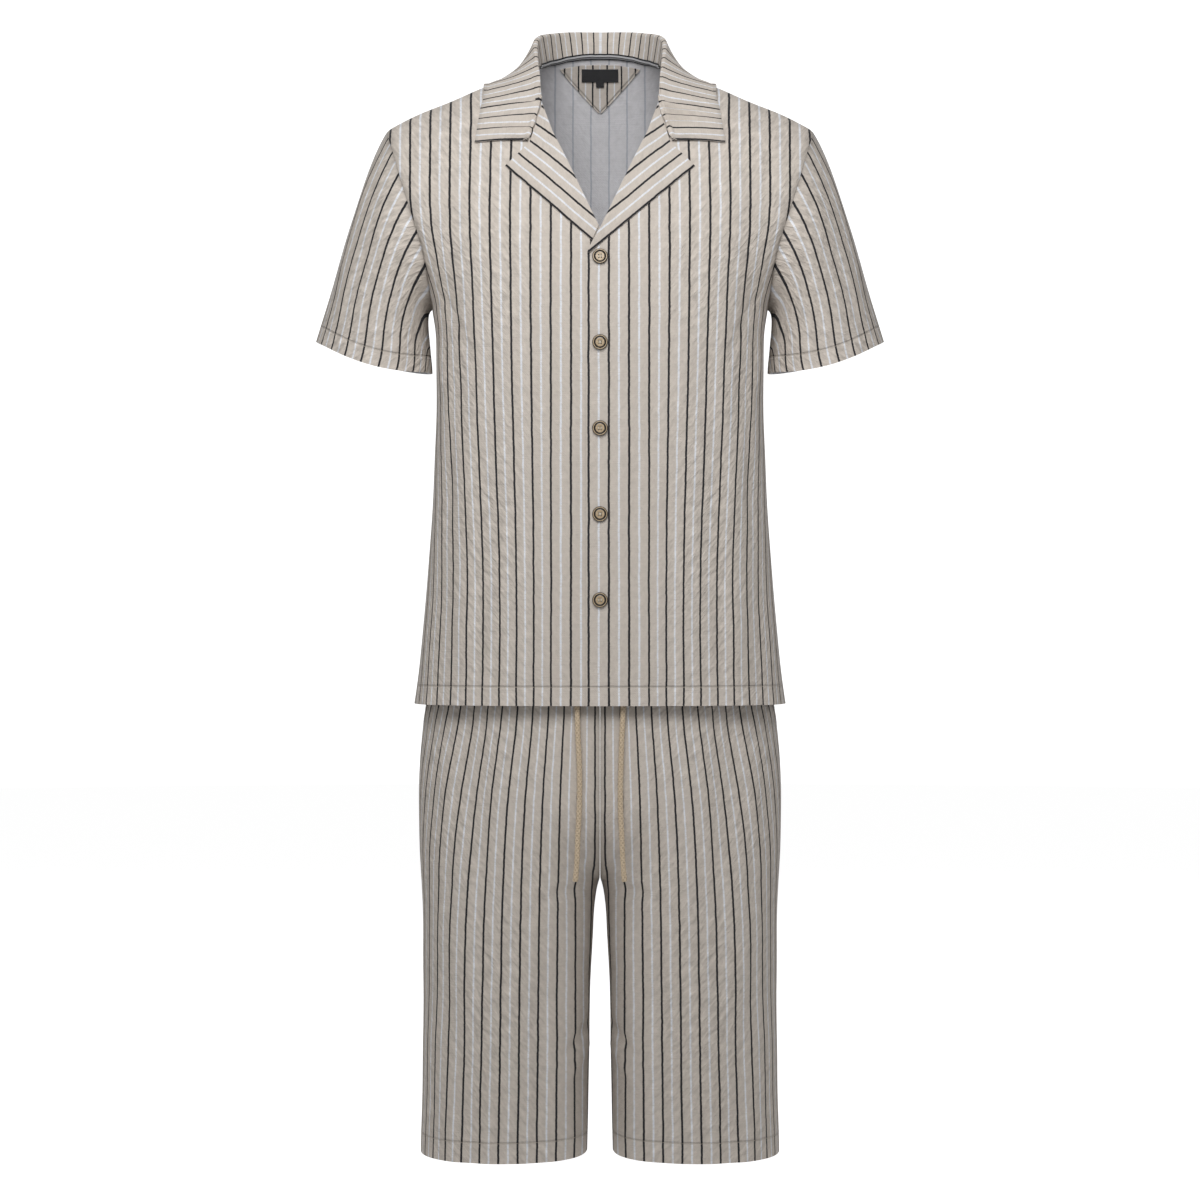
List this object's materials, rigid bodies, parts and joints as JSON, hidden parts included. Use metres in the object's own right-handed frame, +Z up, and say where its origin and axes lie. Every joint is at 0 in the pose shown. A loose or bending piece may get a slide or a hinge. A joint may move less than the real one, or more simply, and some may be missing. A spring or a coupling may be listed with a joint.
{
  "type": "lounge set",
  "caption": "Short-sleeved camp-collar shirt buttoned over knee-length drawstring shorts in striped seersucker, filled out as if worn, with nobody inside.",
  "frame": {"origin": "midway between the shirt's two side neck points, where it rests on the wearer's shoulders", "axes": "+Z up, +X towards the wearer's left, -Y towards the front"},
  "size_m": [0.6234, 0.255, 1.24],
  "materials": {
    "striped_cloth": "puckered weave",
    "neck_tape": "woven tape",
    "woven_label": "woven",
    "button_horn": "satin",
    "drawstring_cotton": "braided cotton",
    "eyelet_metal": "dark satin"
  },
  "bodies": {
    "root": {"back_neck_facing": "striped_cloth", "button_1": "button_horn", "button_2": "button_horn", "button_3": "button_horn", "button_4": "button_horn", "button_5": "button_horn", "collar": "striped_cloth", "drawstring_left": "drawstring_cotton", "drawstring_right": "drawstring_cotton", "eyelet_left": "eyelet_metal", "eyelet_right": "eyelet_metal", "lapel_left": "striped_cloth", "lapel_right": "striped_cloth", "neck_label": "woven_label", "neck_tape": "neck_tape", "shirt_back": "striped_cloth", "shirt_front_left": "striped_cloth", "shirt_front_right": "striped_cloth", "shorts_back_left": "striped_cloth", "shorts_back_right": "striped_cloth", "shorts_front_left": "striped_cloth", "shorts_front_right": "striped_cloth", "sleeve_left": "striped_cloth", "sleeve_right": "striped_cloth", "waistband": "striped_cloth"}
  },
  "joints": []
}
